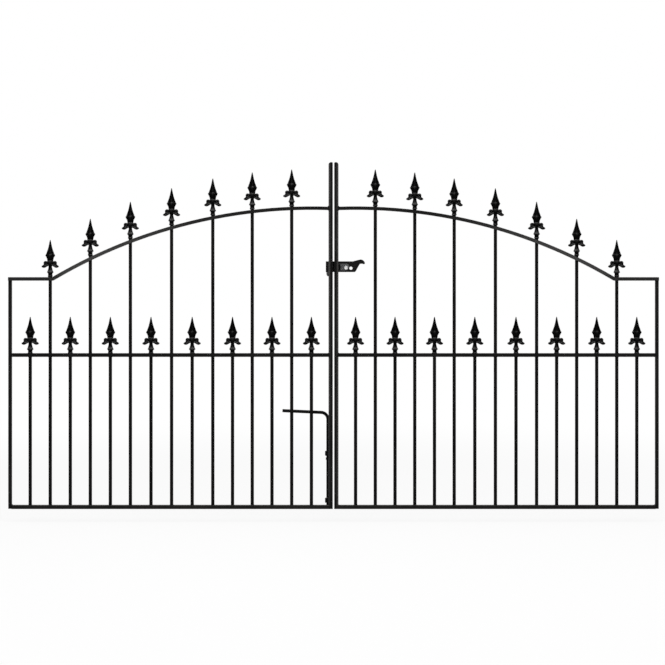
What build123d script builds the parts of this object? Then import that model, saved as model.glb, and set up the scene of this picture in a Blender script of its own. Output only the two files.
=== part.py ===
from build123d import *

import math
import os

# Wrought iron double driveway gate: two mirrored leaves with an arched top, spear-headed bars,
# a seesaw latch lever and a drop bolt, hung on jamb plates.
#
# The gate is laid out in its own frame: X runs along the gate from the left post to the right
# post with zero on the meeting line, Y runs from the road side (front) to the drive side (back)
# with zero on the middle of the bars, and Z is up from the underside of the leaves. Everything
# is written out from the middle of the lower left jamb plate's flat face, which is the origin
# of the finished part. All sizes are in millimetres.

# Whole gate
pair_width = 2438.0
meeting_gap = 5.4
middle_rail_level = 576.0
top_rail_level = 861.5

# Frame bars; the meeting stile is rolled over at its outer front edge and at its top
hanging_stile_side = 12.7
meeting_stile_width = 16.0
meeting_stile_depth = 25.4
meeting_stile_roll = 9.5
meeting_stile_chamfer = 2.5
meeting_stile_stand = 172.0
rail_height = 12.7
rail_depth = 25.4
rail_lap = 4.0

# Arched top rail: a flat bar kinked up from its level run and rolled to one radius
level_run = 166.0
arch_crown_level = 1127.0
arch_crown_offset = 82.0

# Round bars, counted from the hanging stile: odd ones are short and even ones are tall.
# Each ratio is the gap before a bar against an even spacing, as the smith set them out.
bar_diameter = 12.7
bar_gap_ratios = [1.0] * 6 + [1.0285] * 4 + [0.9846] * 5 + [0.96]
punch_clearance = 0.15
tall_bar_stand = 3.0

# Cast spearhead: each ratio pair gives a height between the shoulder and the tip, or between
# the shoulder and the waist, and a half width against the shoulder's
spear_height = 137.0
spear_tip_half = 1.2
spear_shoulder_level = 79.3
spear_shoulder_half = 18.6
spear_upper_ratios = [(0.88, 0.14), (0.55, 0.345), (0.30, 0.555), (0.12, 0.78)]
spear_waist_level = 62.0
spear_waist_half = 11.0
spear_lower_ratios = [(0.29, 0.81), (0.60, 0.65)]
spear_blade_ratio = 0.62

# Leaf pair under the blade, a scroll over a drooping barb: distance from the middle and level
spear_leaf_thickness = 13.0
scroll_level = 57.9
scroll_crown = (18.8, 57.9)
scroll_corner = (23.2, 55.9)
scroll_side = (24.9, 51.0)
scroll_foot = (23.1, 43.0)
barb_back = (28.4, 41.4)
barb_tip = (32.2, 37.6)
barb_chin = (29.6, 33.9)
barb_belly = (23.0, 31.9)
barb_hollow = (13.5, 36.2)
barb_root = (8.5, 39.2)

# Turned stem of the spearhead, flared to a rim over its neck
spear_stem_radius = 6.3
spear_cone_height = 16.0
spear_rim_radius = 12.0
spear_rim_level = 16.0
spear_flare_radius = 9.8
spear_flare_height = 4.5
spear_undercut = 5.0
spear_neck_radius = 8.0
spear_foot_radius = 9.6
spear_foot_height = 2.5

# Lift-off hinges behind the hanging stiles
hinge_pin_diameter = 8.0
hinge_pin_clearance = 0.2
hinge_eye_diameter = 12.7
hinge_eye_length = 40.0
hinge_eye_offset = 4.0
hinge_pin_stand = 8.0
hinge_axis_shift = 2.0
hinge_foot_width = 8.0
hinge_seat_gap = 0.3
lower_hinge_level = 110.0
upper_hinge_level = 730.0
hinge_arm_thickness = 10.0
hinge_arm_width = 6.0
hinge_arm_lap = 17.0

# Jamb plates that the posts carry
jamb_plate_thickness = 6.0
jamb_plate_width = 44.0
jamb_plate_height = 90.0
jamb_plate_setback = 28.0
jamb_bolt_diameter = 9.0
jamb_bolt_spacing = 60.0

# Latch lever, a seesaw on a bracket of the right leaf
latch_pivot_offset = 47.0
latch_pivot_level = 903.0
latch_bolt_diameter = 8.0
latch_bolt_clearance = 0.2
latch_head_width = 13.0
latch_head_height = 5.3
latch_nut_height = 6.5
latch_bolt_end = 2.0
latch_washer_radius = 9.0
latch_thickness = 5.0
latch_slide_gap = 1.5
latch_nose_length = 76.0
latch_top_rise = 24.2
latch_bottom_drop = 16.1
latch_bracket_height = 25.5
latch_bracket_thickness = 6.0
latch_bracket_rise = 2.7
padlock_hole_diameter = 12.0
padlock_hole_offset = 18.5
padlock_hole_drop = 1.6

# Curled thumb piece of the lever: distance past the pivot and height above the top edge
thumb_start = (26.0, 0.0)
thumb_swell = (41.0, 4.0)
thumb_crest = (53.5, 6.9)
thumb_shoulder = (65.8, 2.7)
thumb_tip = (70.8, -4.9)
thumb_curl = (70.0, -9.6)
thumb_underside = (66.0, -10.7)
thumb_hollow = (57.5, -9.0)
thumb_throat = (50.6, -11.6)

# Heel of the lever: distance past the pivot and height above the bottom edge
heel_back = (38.2, 6.0)
heel_round = (35.4, 1.9)
heel_front = (30.5, 0.0)

# Catch on the left meeting stile
catch_lip_height = 14.0
catch_lip_thickness = 4.5
catch_depth = 16.0
catch_floor_gap = 0.3
catch_corner = 9.0
catch_inset = 2.5

# Drop bolt on the left leaf
bolt_rod_diameter = 12.0
bolt_rod_inset = 21.0
bolt_rail_gap = 3.0
bolt_top_level = 357.7
bolt_bend_radius = 26.0
bolt_handle_reach = 171.0
bolt_handle_rise = 7.7
bolt_foot_level = 5.0
bolt_guide_clearance = 0.5
bolt_guide_diameter = 22.0
bolt_guide_height = 18.5
bolt_guide_edge = 3.0
bolt_upper_guide_level = 205.0
bolt_lower_guide_level = 28.3
bolt_collar_diameter = 16.0
bolt_collar_height = 8.0
bolt_collar_gap = 6.8

# Worked out from the sizes above
leaf_edge = pair_width / 2
hanging_inner = leaf_edge - hanging_stile_side
meeting_inner = meeting_gap / 2
meeting_outer = meeting_inner + meeting_stile_width
rail_end = meeting_outer - rail_lap
stile_back = meeting_stile_depth / 2
bar_radius = bar_diameter / 2
hanging_middle = leaf_edge - hanging_stile_side / 2
hinge_axis_x = hanging_middle + hinge_axis_shift
hinge_axis_y = hanging_stile_side / 2 + hinge_eye_offset + hinge_eye_diameter / 2
jamb_face = leaf_edge + jamb_plate_thickness
arch_rise = arch_crown_level - top_rail_level
arch_half_chord = leaf_edge - level_run - arch_crown_offset
arch_radius = (arch_half_chord**2 + arch_rise**2) / (2 * arch_rise)
arch_centre_level = arch_crown_level - arch_radius
meeting_stile_height = arch_crown_level + meeting_stile_stand
latch_front = stile_back + latch_slide_gap
latch_back = latch_front + latch_thickness
rod_y = rail_depth / 2 + bolt_rail_gap + bolt_rod_diameter / 2
rod_radius = bolt_rod_diameter / 2


def block(x_low, x_high, y_low, y_high, z_low, z_high):
    """A square-edged bar between six planes."""
    centre = ((x_low + x_high) / 2, (y_low + y_high) / 2, (z_low + z_high) / 2)
    return Pos(*centre) * Box(x_high - x_low, y_high - y_low, z_high - z_low)


def upright(x, y, radius, z_low, z_high):
    """A round bar standing on z_low."""
    return Pos(x, y, (z_low + z_high) / 2) * Cylinder(radius, z_high - z_low)


def cross_pin(x, z, radius, y_low, y_high):
    """A round bar lying through the gate from front to back."""
    return Pos(x, (y_low + y_high) / 2, z) * Rot(90, 0, 0) * Cylinder(radius, y_high - y_low)


def front_plate(outline, y_low, y_high):
    """A plate cut to an outline drawn in X and Z, between two Y planes."""
    sketch = make_face(Plane.XZ * outline)
    return Pos(0, y_high, 0) * extrude(sketch, y_high - y_low, dir=(0, -1, 0))


def bar_stations():
    """Distances of the bars from the meeting line, from the hanging stile inwards."""
    span = hanging_middle - (meeting_inner + meeting_outer) / 2
    unit = span / sum(bar_gap_ratios)
    stations = []
    place = hanging_middle
    for ratio in bar_gap_ratios[:-1]:
        place -= ratio * unit
        stations.append(place)
    return stations


def arc_level(x, radius):
    """Height of a circle about the arch's centre, at a distance from the meeting line."""
    return arch_centre_level + math.sqrt(radius**2 - (x - arch_crown_offset) ** 2)


def arc_reach(level, radius):
    """Distance from the meeting line at which such a circle passes a height."""
    return arch_crown_offset + math.sqrt(radius**2 - (level - arch_centre_level) ** 2)


def tall_seat(x):
    """Height at which a tall bar ends, just proud of the rail it passes through."""
    half = rail_height / 2
    level_top = top_rail_level + half
    if x - bar_radius > arc_reach(level_top, arch_radius + half):
        return level_top + tall_bar_stand
    edge_levels = [arc_level(x + side * bar_radius, arch_radius + half) for side in (-1, 1)]
    return max(edge_levels + [level_top]) + tall_bar_stand


def punched(rail, stations):
    """A rail with a vertical hole for each bar that runs through it."""
    radius = bar_radius + punch_clearance
    for x in stations:
        rail -= upright(x, 0, radius, 0, meeting_stile_height)
    return rail


def top_rail():
    """Level run over the hanging stile, kinked up into the rolled arch."""
    half = rail_height / 2
    under, over = top_rail_level - half, top_rail_level + half
    inner, outer = arch_radius - half, arch_radius + half
    middle_x = (arc_reach(under, inner) + rail_end) / 2
    lower_kink = (arc_reach(under, inner), under)
    upper_kink = (arc_reach(over, outer), over)
    lower_end = (rail_end, arc_level(rail_end, inner))
    upper_end = (rail_end, arc_level(rail_end, outer))
    outline = Line((leaf_edge, under), lower_kink)
    outline += ThreePointArc(lower_kink, (middle_x, arc_level(middle_x, inner)), lower_end)
    outline += Line(lower_end, upper_end)
    outline += ThreePointArc(upper_end, (middle_x, arc_level(middle_x, outer)), upper_kink)
    outline += Polyline(upper_kink, (leaf_edge, over), (leaf_edge, under))
    return front_plate(outline, -rail_depth / 2, rail_depth / 2)


def spear_blade():
    """Four-faced blade, hollow towards its tip, from there down to the shoulder and the waist."""
    taper = spear_height - spear_shoulder_level
    hollow = spear_shoulder_level - spear_waist_level
    levels = [(spear_height, spear_tip_half)]
    for height, width in spear_upper_ratios:
        levels.append((spear_shoulder_level + taper * height, spear_shoulder_half * width))
    levels.append((spear_shoulder_level, spear_shoulder_half))
    for height, width in spear_lower_ratios:
        levels.append((spear_shoulder_level - hollow * height, spear_shoulder_half * width))
    levels.append((spear_waist_level, spear_waist_half))
    levels.append((spear_waist_level - spear_waist_half, spear_waist_half))
    sections = []
    for level, half in levels:
        side = half * spear_blade_ratio
        corners = [(half, 0), (0, side), (-half, 0), (0, -side)]
        sections.append(Pos(0, 0, level) * make_face(Polyline(*corners, close=True)))
    return loft(sections, ruled=True)


def spear_leaf():
    """One side of the leaf pair under the blade."""
    outline = Polyline((0, barb_root[1]), (0, scroll_level), scroll_crown)
    outline += ThreePointArc(scroll_crown, scroll_corner, scroll_side)
    outline += Line(scroll_side, scroll_foot)
    outline += ThreePointArc(scroll_foot, barb_back, barb_tip)
    outline += ThreePointArc(barb_tip, barb_chin, barb_belly)
    outline += Polyline(barb_belly, barb_hollow, barb_root, (0, barb_root[1]))
    return front_plate(outline, -spear_leaf_thickness / 2, spear_leaf_thickness / 2)


def spearhead():
    """Cast spearhead standing on Z zero: neck, flared rim and stem, leaf pair and blade."""
    turning = [
        (0, 0),
        (spear_foot_radius, 0),
        (spear_neck_radius, spear_foot_height),
        (spear_neck_radius, spear_rim_level - spear_undercut),
        (spear_rim_radius, spear_rim_level),
        (spear_flare_radius, spear_rim_level + spear_flare_height),
        (spear_stem_radius, spear_rim_level + spear_cone_height),
        (spear_stem_radius, scroll_level),
        (0, scroll_level),
    ]
    stem = revolve(make_face(Plane.XZ * Polyline(*turning, close=True)), Axis.Z)
    leaf = spear_leaf()
    return stem + leaf + mirror(leaf, about=Plane.YZ) + spear_blade()


def spearheads(spear, seats):
    """A spearhead on each bar end, given as distance and height."""
    return [Pos(x, 0, seat) * spear for x, seat in seats]


def hinge_eye(level):
    """Eye with a flat foot against the back of the hanging stile, bored for the hinge pin."""
    radius = hinge_eye_diameter / 2
    foot_half = hinge_foot_width / 2
    eye = upright(hinge_axis_x, hinge_axis_y, radius, level, level + hinge_eye_length)
    eye += block(
        hinge_axis_x - foot_half,
        hinge_axis_x + foot_half,
        hanging_stile_side / 2,
        hinge_axis_y,
        level,
        level + hinge_eye_length,
    )
    bore = hinge_pin_diameter / 2 + hinge_pin_clearance
    return eye - upright(hinge_axis_x, hinge_axis_y, bore, level, level + hinge_eye_length)


def hinge_gudgeon(level):
    """Arm under the eye, running back along the jamb plate, with the pin standing on it."""
    top = level - hinge_seat_gap
    head_radius = hinge_eye_diameter / 2
    arm = upright(hinge_axis_x, hinge_axis_y, head_radius, top - hinge_arm_thickness, top)
    arm += block(
        leaf_edge - hinge_arm_width,
        leaf_edge,
        hinge_axis_y,
        jamb_plate_setback + hinge_arm_lap,
        top - hinge_arm_thickness,
        top,
    )
    pin_top = level + hinge_eye_length + hinge_pin_stand
    pin = upright(hinge_axis_x, hinge_axis_y, hinge_pin_diameter / 2, top, pin_top)
    pin = chamfer(pin.edges().group_by(Axis.Z)[-1], hinge_pin_diameter / 8)
    return arm + pin


def plate_level(level):
    """Middle height of the jamb plate that carries the hinge at a level."""
    return level - hinge_seat_gap - hinge_arm_thickness / 2


def jamb_plate(level):
    """Plate that lies on the post's jamb, with two bolt holes."""
    middle = plate_level(level)
    plate = block(
        leaf_edge,
        jamb_face,
        jamb_plate_setback,
        jamb_plate_setback + jamb_plate_width,
        middle - jamb_plate_height / 2,
        middle + jamb_plate_height / 2,
    )
    hole_y = jamb_plate_setback + jamb_plate_width / 2
    for side in (-1, 1):
        hole = Rot(0, 90, 0) * Cylinder(jamb_bolt_diameter / 2, jamb_plate_thickness)
        x = (leaf_edge + jamb_face) / 2
        plate -= Pos(x, hole_y, middle + side * jamb_bolt_spacing / 2) * hole
    return plate


def meeting_stile():
    """Bar on edge, rolled over along its outer front edge and across its top."""
    bend = meeting_stile_roll * (1 - math.sqrt(0.5))
    roll_foot = (meeting_outer, meeting_stile_height - meeting_stile_roll)
    roll_middle = (meeting_outer - bend, meeting_stile_height - bend)
    roll_top = (meeting_outer - meeting_stile_roll, meeting_stile_height)
    inner_top = (meeting_inner + meeting_stile_chamfer, meeting_stile_height)
    inner_side = (meeting_inner, meeting_stile_height - meeting_stile_chamfer)
    outline = Polyline((meeting_outer, 0), roll_foot)
    outline += ThreePointArc(roll_foot, roll_middle, roll_top)
    outline += Polyline(roll_top, inner_top, inner_side, (meeting_inner, 0), (meeting_outer, 0))
    stile = front_plate(outline, -stile_back, stile_back)
    corner = block(
        meeting_outer - meeting_stile_roll,
        meeting_outer,
        -stile_back,
        -stile_back + meeting_stile_roll,
        0,
        meeting_stile_height,
    )
    corner -= upright(
        meeting_outer - meeting_stile_roll,
        -stile_back + meeting_stile_roll,
        meeting_stile_roll,
        0,
        meeting_stile_height,
    )
    return stile - corner


def leaf_nodes(spear):
    """The pieces that both leaves share, drawn on the right of the meeting line."""
    stations = bar_stations()
    short_places = stations[0::2]
    tall_places = stations[1::2]
    half_depth = rail_depth / 2
    middle_top = middle_rail_level + rail_height / 2
    short_seats = [(x, middle_top) for x in short_places]
    tall_seats = [(x, tall_seat(x)) for x in tall_places]
    stile_half = hanging_stile_side / 2
    stile_top = top_rail_level - rail_height / 2
    stile = meeting_stile()
    middle_rail = block(
        rail_end,
        hanging_inner,
        -half_depth,
        half_depth,
        middle_rail_level - rail_height / 2,
        middle_top,
    )
    bottom_rail = block(rail_end, hanging_inner, -half_depth, half_depth, 0, rail_height)
    return {
        "hanging_stile": [
            block(hanging_inner, leaf_edge, -stile_half, stile_half, 0, stile_top)
        ],
        "meeting_stile": [stile],
        "bottom_rail": [bottom_rail - stile],
        "middle_rail": [punched(middle_rail - stile, stations)],
        "arched_top_rail": [punched(top_rail() - stile, tall_places)],
        "short_bars": [upright(x, 0, bar_radius, rail_height, z) for x, z in short_seats],
        "tall_bars": [upright(x, 0, bar_radius, rail_height, z) for x, z in tall_seats],
        "short_spearheads": spearheads(spear, short_seats),
        "tall_spearheads": spearheads(spear, tall_seats),
        "hinge_eyes": [hinge_eye(level) for level in (lower_hinge_level, upper_hinge_level)],
    }


def post_nodes():
    """The jamb plates and gudgeons, drawn on the right of the meeting line."""
    levels = (lower_hinge_level, upper_hinge_level)
    return {
        "jamb_plates": [jamb_plate(level) for level in levels],
        "gudgeons": [hinge_gudgeon(level) for level in levels],
    }


def above(point, edge):
    """A point of the lever's outline, given from the pivot and from one of its edges."""
    return (point[0], edge + point[1])


def latch_lever():
    """Flat lever: straight nose over both stiles, bevelled heel and a curled thumb piece."""
    top, bottom = latch_top_rise, -latch_bottom_drop
    start = above(thumb_start, top)
    crest = above(thumb_crest, top)
    tip = above(thumb_tip, top)
    underside = above(thumb_underside, top)
    throat = above(thumb_throat, top)
    back = above(heel_back, bottom)
    front = above(heel_front, bottom)
    outline = Polyline(front, (-latch_nose_length, bottom), (-latch_nose_length, top), start)
    outline += ThreePointArc(start, above(thumb_swell, top), crest)
    outline += ThreePointArc(crest, above(thumb_shoulder, top), tip)
    outline += ThreePointArc(tip, above(thumb_curl, top), underside)
    outline += ThreePointArc(underside, above(thumb_hollow, top), throat)
    outline += Line(throat, back)
    outline += ThreePointArc(back, above(heel_round, bottom), front)
    lever = Pos(latch_pivot_offset, 0, latch_pivot_level) * front_plate(
        outline, latch_front, latch_back
    )
    bore = latch_bolt_diameter / 2 + latch_bolt_clearance
    padlock_x = latch_pivot_offset + padlock_hole_offset
    lever -= cross_pin(latch_pivot_offset, latch_pivot_level, bore, latch_front, latch_back)
    padlock_level = latch_pivot_level - padlock_hole_drop
    hole = padlock_hole_diameter / 2
    return lever - cross_pin(padlock_x, padlock_level, hole, latch_front, latch_back)


def latch_bracket():
    """Round-ended lug welded to the side of the right meeting stile."""
    half = latch_bracket_height / 2
    middle = latch_pivot_level + latch_bracket_rise
    front = stile_back - latch_bracket_thickness
    lug = block(
        meeting_outer,
        latch_pivot_offset,
        front,
        stile_back,
        middle - half,
        middle + half,
    )
    lug += cross_pin(latch_pivot_offset, middle, half, front, stile_back)
    bore = latch_bolt_diameter / 2 + latch_bolt_clearance
    return lug - cross_pin(latch_pivot_offset, latch_pivot_level, bore, front, stile_back)


def hexagon(width, y_low, y_high):
    """Hexagonal prism on the pivot line, for the bolt head and the nut."""
    sides = RegularPolygon(width / 2, 6, major_radius=False)
    prism = extrude(sides, y_high - y_low)
    return Pos(latch_pivot_offset, y_high, latch_pivot_level) * Rot(90, 0, 0) * prism


def latch_washer():
    """Spacer that holds the lever off the bracket."""
    disc = cross_pin(
        latch_pivot_offset, latch_pivot_level, latch_washer_radius, stile_back, latch_front
    )
    bore = latch_bolt_diameter / 2 + latch_bolt_clearance
    return disc - cross_pin(latch_pivot_offset, latch_pivot_level, bore, stile_back, latch_front)


def pivot_bolt():
    """Hexagon-headed bolt put in from the front, with its end through the nut."""
    front = stile_back - latch_bracket_thickness
    end = latch_back + catch_floor_gap + latch_nut_height + latch_bolt_end
    shank = cross_pin(latch_pivot_offset, latch_pivot_level, latch_bolt_diameter / 2, front, end)
    return hexagon(latch_head_width, front - latch_head_height, front) + shank


def pivot_nut():
    """Lock nut that keeps the lever on without pinching it."""
    low = latch_back + catch_floor_gap
    high = low + latch_nut_height
    hole = latch_bolt_diameter / 2
    nut = hexagon(latch_head_width, low, high)
    return nut - cross_pin(latch_pivot_offset, latch_pivot_level, hole, low, high)


def latch_catch():
    """Hooked catch on the back of the left meeting stile: a floor and a lip behind the nose."""
    floor = latch_pivot_level - latch_bottom_drop - catch_floor_gap
    lip_front = latch_back + latch_slide_gap
    lip_back = lip_front + catch_lip_thickness
    outer = latch_pivot_offset - latch_nose_length + catch_inset
    base = block(outer, -meeting_inner, stile_back, lip_back, floor - catch_depth, floor)
    corner = base.edges().filter_by(Axis.Y).group_by(Axis.Z)[0].sort_by(Axis.X)[0]
    base = fillet(corner, catch_corner)
    lip = block(outer, -meeting_inner, lip_front, lip_back, floor, floor + catch_lip_height)
    return base + lip


def bolt_guide(level):
    """Eye behind the left meeting stile that the drop bolt slides in, on a flat foot."""
    half = bolt_guide_height / 2
    radius = bolt_guide_diameter / 2
    guide = upright(-bolt_rod_inset, rod_y, radius, level - half, level + half)
    guide = fillet(guide.edges(), bolt_guide_edge)
    guide += block(
        -bolt_rod_inset, -meeting_inner, stile_back, rod_y, level - half, level + half
    )
    guide -= block(-meeting_outer, 0, 0, stile_back, level - half, level + half)
    bore = rod_radius + bolt_guide_clearance
    return guide - upright(-bolt_rod_inset, rod_y, bore, level - half, level + half)


def drop_bolt():
    """Round rod bent over at the top into a long handle that runs towards the hinges."""
    handle_end = -bolt_rod_inset - bolt_handle_reach
    corner = (-bolt_rod_inset, rod_y, bolt_top_level)
    path = FilletPolyline(
        (-bolt_rod_inset, rod_y, bolt_foot_level),
        corner,
        (handle_end, rod_y, bolt_top_level + bolt_handle_rise),
        radius=bolt_bend_radius,
    )
    start = Plane(origin=path @ 0, z_dir=path % 0)
    return sweep(start * Circle(rod_radius), path=path)


def bolt_collar():
    """Collar on the rod under the upper guide, so that the bolt can't be pulled out."""
    top = bolt_upper_guide_level - bolt_guide_height / 2 - bolt_collar_gap
    bottom = top - bolt_collar_height
    collar = upright(-bolt_rod_inset, rod_y, bolt_collar_diameter / 2, bottom, top)
    return collar - upright(-bolt_rod_inset, rod_y, rod_radius, bottom, top)


def all_nodes():
    """Every node of the gate, by name."""
    spear = spearhead()
    nodes = {}
    for name, pieces in {**post_nodes(), **leaf_nodes(spear)}.items():
        nodes["right_" + name] = pieces
        nodes["left_" + name] = [mirror(piece, about=Plane.YZ) for piece in pieces]
    nodes["latch_lever"] = [latch_lever()]
    nodes["latch_bracket"] = [latch_bracket()]
    nodes["latch_washer"] = [latch_washer()]
    nodes["latch_pivot_bolt"] = [pivot_bolt()]
    nodes["latch_pivot_nut"] = [pivot_nut()]
    nodes["latch_catch"] = [latch_catch()]
    nodes["drop_bolt_upper_guide"] = [bolt_guide(bolt_upper_guide_level)]
    nodes["drop_bolt_lower_guide"] = [bolt_guide(bolt_lower_guide_level)]
    nodes["drop_bolt_rod"] = [drop_bolt()]
    nodes["drop_bolt_collar"] = [bolt_collar()]
    return nodes


def write_nodes():
    """Moves the gate so that the lower left jamb face's middle is zero, and writes each node."""
    os.makedirs("parts", exist_ok=True)
    plate_middle_y = jamb_plate_setback + jamb_plate_width / 2
    home = Pos(jamb_face, -plate_middle_y, -plate_level(lower_hinge_level))
    for name, pieces in all_nodes().items():
        solids = []
        for piece in pieces:
            solids.extend((home * piece).solids())
        shape = solids[0] if len(solids) == 1 else Compound(solids)
        export_step(shape, "parts/" + name + ".step")
        print(name, len(solids))
    print("origin in gate frame", home.position)


write_nodes()
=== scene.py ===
import math
import random

import bmesh
import bpy
from mathutils import Matrix, Vector


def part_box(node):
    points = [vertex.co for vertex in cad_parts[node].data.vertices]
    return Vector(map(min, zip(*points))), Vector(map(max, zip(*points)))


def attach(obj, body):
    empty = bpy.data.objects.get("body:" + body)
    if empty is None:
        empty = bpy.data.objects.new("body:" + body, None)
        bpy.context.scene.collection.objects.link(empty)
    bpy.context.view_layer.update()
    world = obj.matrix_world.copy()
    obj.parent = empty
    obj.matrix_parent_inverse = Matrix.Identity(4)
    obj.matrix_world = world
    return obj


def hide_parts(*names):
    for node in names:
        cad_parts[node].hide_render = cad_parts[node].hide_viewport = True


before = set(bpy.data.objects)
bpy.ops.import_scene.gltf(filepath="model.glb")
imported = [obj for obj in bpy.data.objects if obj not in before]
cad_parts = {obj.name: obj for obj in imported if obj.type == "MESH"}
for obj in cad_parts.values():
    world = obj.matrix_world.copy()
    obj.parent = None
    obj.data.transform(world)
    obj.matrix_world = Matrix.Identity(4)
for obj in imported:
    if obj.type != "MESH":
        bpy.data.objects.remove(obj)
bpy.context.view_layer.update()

# Wrought iron double driveway gate. The steelwork comes from the frame; this script eases its
# edges, casts the spearheads, lays the welds and gives every piece its finish.
# Sizes are in metres unless a name says otherwise.

MM = 0.001
X, Y, Z = 0, 1, 2
SIDES = ("left", "right")
LEAF_BODY = {"left": "left_leaf", "right": "right_leaf"}


# ---------------------------------------------------------------- finishes

# How pale a film of dust is
DUST_LEVEL = 0.016
# How pale the painted highlights on the castings are, and the paler run of an arch
PALE_GREY_MARK = 0.046
# The fine orange peel of a sprayed and baked coat
PEEL_PER_METRE = 700.0
PEEL_STRENGTH = 0.14
PEEL_DEPTH = 0.35 * MM


class Wire:
    """A value that runs through a finish, with arithmetic that adds Math nodes."""

    def __init__(self, finish, socket):
        self.finish = finish
        self.socket = socket

    def _math(self, operation, *values):
        sockets = dict(enumerate(values))
        return self.finish.node("ShaderNodeMath", {"operation": operation}, sockets)

    def __add__(self, other):
        return self._math("ADD", self, other)

    __radd__ = __add__

    def __mul__(self, other):
        return self._math("MULTIPLY", self, other)

    __rmul__ = __mul__

    def __sub__(self, other):
        return self._math("SUBTRACT", self, other)

    def __rsub__(self, other):
        return self._math("SUBTRACT", other, self)

    def larger(self, other):
        return self._math("MAXIMUM", self, other)

    def size(self):
        """The value without its sign."""
        return self._math("ABSOLUTE", self)

    def within(self, low, high):
        """Runs smoothly from 0 at low to 1 at high."""
        settings = {"interpolation_type": "SMOOTHSTEP"}
        sockets = {"Value": self, "From Min": low, "From Max": high}
        return self.finish.node("ShaderNodeMapRange", settings, sockets)


class Recipe:
    """Nodes in the tree of a finish or of the studio's air."""

    def __init__(self, owner):
        self.owner = owner
        owner.use_nodes = True
        self.tree = owner.node_tree
        self.tree.nodes.clear()

    def node(self, kind, settings=None, sockets=None, out=0):
        """Adds a node: settings first, then the values or links of its sockets."""
        made = self.tree.nodes.new(kind)
        for name, value in (settings or {}).items():
            setattr(made, name, value)
        for key, value in (sockets or {}).items():
            if isinstance(value, Wire):
                self.tree.links.new(value.socket, made.inputs[key])
            else:
                made.inputs[key].default_value = value
        return Wire(self, made.outputs[out]) if made.outputs else None

    def along(self, axis, vector):
        """The X, Y or Z of a vector."""
        return self.node("ShaderNodeSeparateXYZ", None, {0: vector}, axis)

    def ray(self, kind):
        """1 for rays of one kind and 0 for the rest."""
        return self.node("ShaderNodeLightPath", out=kind)


class Finish(Recipe):
    """One coating or metal."""

    def __init__(self, name):
        super().__init__(bpy.data.materials.new(name))

    def place(self):
        """Position on the piece, in metres."""
        return self.node("ShaderNodeTexCoord", out="Object")

    def grain(self, place, per_metre, detail=3.0, roughness=0.55, distortion=0.0):
        """Soft clouds, from 0 to 1."""
        sockets = {
            "Vector": place,
            "Scale": per_metre,
            "Detail": detail,
            "Roughness": roughness,
            "Distortion": distortion,
        }
        return self.node("ShaderNodeTexNoise", None, sockets, "Fac")

    def cells(self, place, per_metre):
        """Distance to the nearest of many scattered points."""
        sockets = {"Vector": place, "Scale": per_metre}
        return self.node("ShaderNodeTexVoronoi", None, sockets, "Distance")

    def blend(self, share, first, second):
        """Goes from the first colour to the second."""
        settings = {"data_type": "RGBA"}
        sockets = {0: share, 6: first, 7: second}
        return self.node("ShaderNodeMix", settings, sockets, 2)

    def facing(self, axis):
        """How far the surface faces along X, Y or Z, from -1 to 1."""
        return self.along(axis, self.node("ShaderNodeNewGeometry", out="Normal"))

    def ridges(self):
        """Rises along outside edges and falls in hollows of a fine mesh."""
        return self.node("ShaderNodeNewGeometry", out="Pointiness")

    def bump(self, height, strength, distance):
        """A surface that leans with its fine relief."""
        sockets = {"Height": height, "Strength": strength, "Distance": distance}
        return self.node("ShaderNodeBump", None, sockets, "Normal")

    def metal(self, film=None, film_level=DUST_LEVEL, **sockets):
        """Closes the finish with its surface, under a matt film where one is given."""
        named = {name.replace("_", " "): value for name, value in sockets.items()}
        surface = self.node("ShaderNodeBsdfPrincipled", None, named, "BSDF")
        if film is not None:
            tint = grey(film_level, 0.05)
            matt = {"Base Color": tint, "Roughness": 1.0, "Specular IOR Level": 0.0}
            dust = self.node("ShaderNodeBsdfPrincipled", None, matt, "BSDF")
            layers = {0: film, 1: surface, 2: dust}
            surface = self.node("ShaderNodeMixShader", None, layers)
        self.node("ShaderNodeOutputMaterial", None, {"Surface": surface})
        return self.owner


def grey(level, warmth=0.0):
    """A grey that may lean to brown (above zero) or blue (below zero)."""
    return (level * (1 + warmth), level, level * (1 - warmth), 1.0)


def powder_coat(name, dark, light, gloss=0.10, top_film_level=DUST_LEVEL, arch=None):
    """Satin black powder coat: faint orange peel, and a pale matt film on what faces up.

    An arch, given by the levels of its foot and crown, is paler below its crown,
    where it runs steeper.
    """
    coat = Finish(name)
    place = coat.place()
    cloud = coat.grain(place, 9.0, 4.0)
    peel = coat.grain(place, PEEL_PER_METRE, 2.0)
    fine = coat.grain(place, 2600.0, 1.0)
    settled = coat.grain(place, 55.0, 5.0).within(0.30, 0.70)
    # The film on what faces up: dust, and with a high top_film_level also painted light on the tops
    dust = coat.facing(Z).within(0.50, 0.95) * (0.82 + 0.18 * settled)
    black = coat.blend(cloud.within(0.35, 0.65), grey(dark, 0.03), grey(light, 0.05))
    speck = coat.cells(place, 130.0).within(0.055, 0.025)
    stain = speck * coat.grain(place, 31.0, 2.0).within(0.60, 0.68)
    colour = coat.blend(stain, black, grey(0.045))
    if arch is not None:
        foot, crown = arch
        level = coat.along(Z, place)
        over_run = level.within(foot + 8 * MM, foot + 35 * MM)
        steep = level.within(crown, crown - 180 * MM) * (0.35 + 0.65 * over_run)
        colour = coat.blend(steep * (0.85 + 0.15 * cloud), colour, grey(PALE_GREY_MARK, 0.02))
    return coat.metal(
        film=dust,
        film_level=top_film_level,
        Base_Color=colour,
        Roughness=0.42 + 0.10 * cloud,
        Specular_IOR_Level=gloss,
        Normal=coat.bump(peel + 0.25 * fine, PEEL_STRENGTH, PEEL_DEPTH),
    )


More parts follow.
